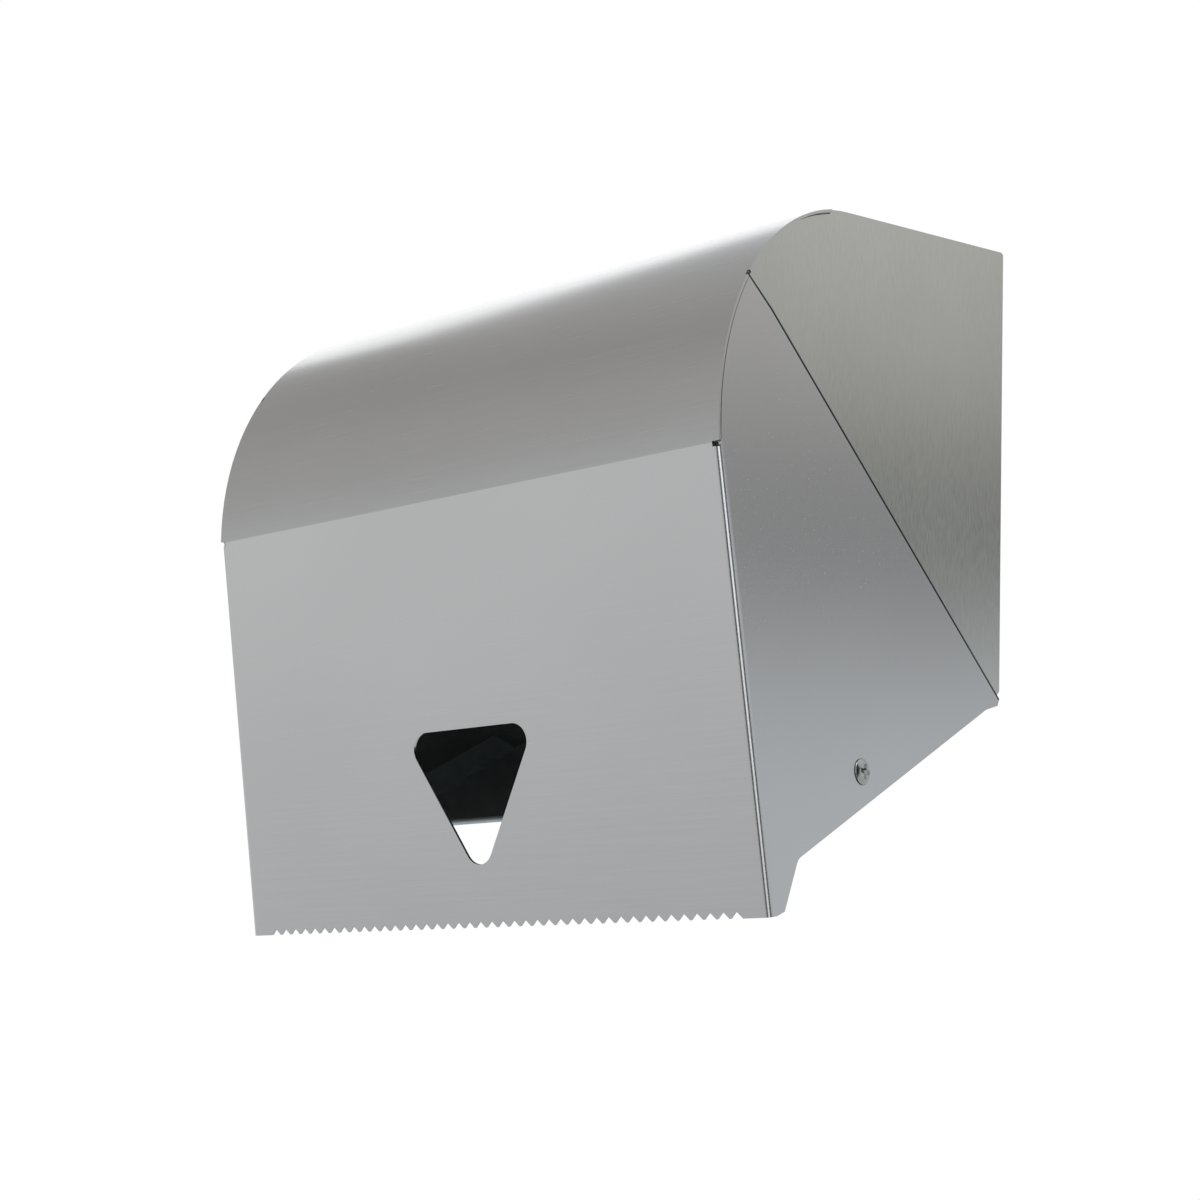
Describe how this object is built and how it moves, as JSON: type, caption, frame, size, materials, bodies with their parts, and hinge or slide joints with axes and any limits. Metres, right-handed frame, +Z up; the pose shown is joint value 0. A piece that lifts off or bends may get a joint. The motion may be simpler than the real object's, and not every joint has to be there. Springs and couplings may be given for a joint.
{
  "type": "paper towel dispenser",
  "caption": "Wall-mounted roll paper towel dispenser in brushed stainless steel with a swing-down cover, sight window, toothed tear edge and key lock.",
  "frame": {"origin": "centre of the four wall screw holes, on the wall face", "axes": "+X across the width, +Y into the wall, +Z up"},
  "size_m": [0.2332, 0.186, 0.2812],
  "materials": {
    "cover_steel": "satin brushed stainless, grain across the front",
    "body_steel": "satin brushed stainless, grain upright",
    "inner_steel": "dull mill stainless",
    "fastener_steel": "plain stainless",
    "spring_steel": "blued spring steel",
    "lock_chrome": "plated",
    "hub_plastic": "moulded black",
    "bush_nylon": "natural nylon"
  },
  "bodies": {
    "housing": {"chassis": "body_steel", "top_plate": "body_steel", "floor_plate": "inner_steel", "left_arm": "inner_steel", "arm_bracket": "inner_steel", "arm_pin": "fastener_steel", "arm_spring": "spring_steel", "weld_studs": "fastener_steel", "stud_nuts": "fastener_steel", "left_hub_pin": "fastener_steel", "left_hub_clip": "spring_steel", "pivot_screws": "fastener_steel", "pivot_bushes": "bush_nylon", "pivot_nuts": "fastener_steel", "lock_barrel": "lock_chrome", "lock_nut": "lock_chrome"},
    "front_cover": {"cover": "cover_steel", "latch_arm": "inner_steel"},
    "roll_arm": {"right_arm": "inner_steel", "right_hub_pin": "fastener_steel", "right_hub_clip": "spring_steel"},
    "left_turning_hub": {"left_hub": "hub_plastic"},
    "right_turning_hub": {"right_hub": "hub_plastic"},
    "lock_cylinder": {"lock_plug": "lock_chrome", "lock_cam": "fastener_steel", "cam_screw": "fastener_steel"}
  },
  "joints": [
    {"name": "cover_swing", "type": "hinge", "parent": "housing", "child": "front_cover", "pos_m": [0, -0.0969, -0.1338], "axis": [1, 0, 0], "range_deg": [0, 144]},
    {"name": "lock_turn", "type": "hinge", "parent": "housing", "child": "lock_cylinder", "pos_m": [0, -0.0984, 0.06645], "axis": [0, -0.2672, 0.9636], "range_deg": [0, 90]},
    {"name": "arm_swing", "type": "hinge", "parent": "housing", "child": "roll_arm", "pos_m": [0.1028, -0.011, -0.0328], "axis": [0, 0, 1], "range_deg": [0, 6], "stiffness_Nm_per_rad": 1, "springref_deg": -5.73, "deforming": ["arm_spring"]},
    {"name": "left_hub_spin", "type": "hinge", "parent": "housing", "child": "left_turning_hub", "pos_m": [-0.0957, -0.0877, -0.0328], "axis": [1, 0, 0], "continuous": true},
    {"name": "right_hub_spin", "type": "hinge", "parent": "roll_arm", "child": "right_turning_hub", "pos_m": [0.0957, -0.0877, -0.0328], "axis": [1, 0, 0], "continuous": true}
  ]
}
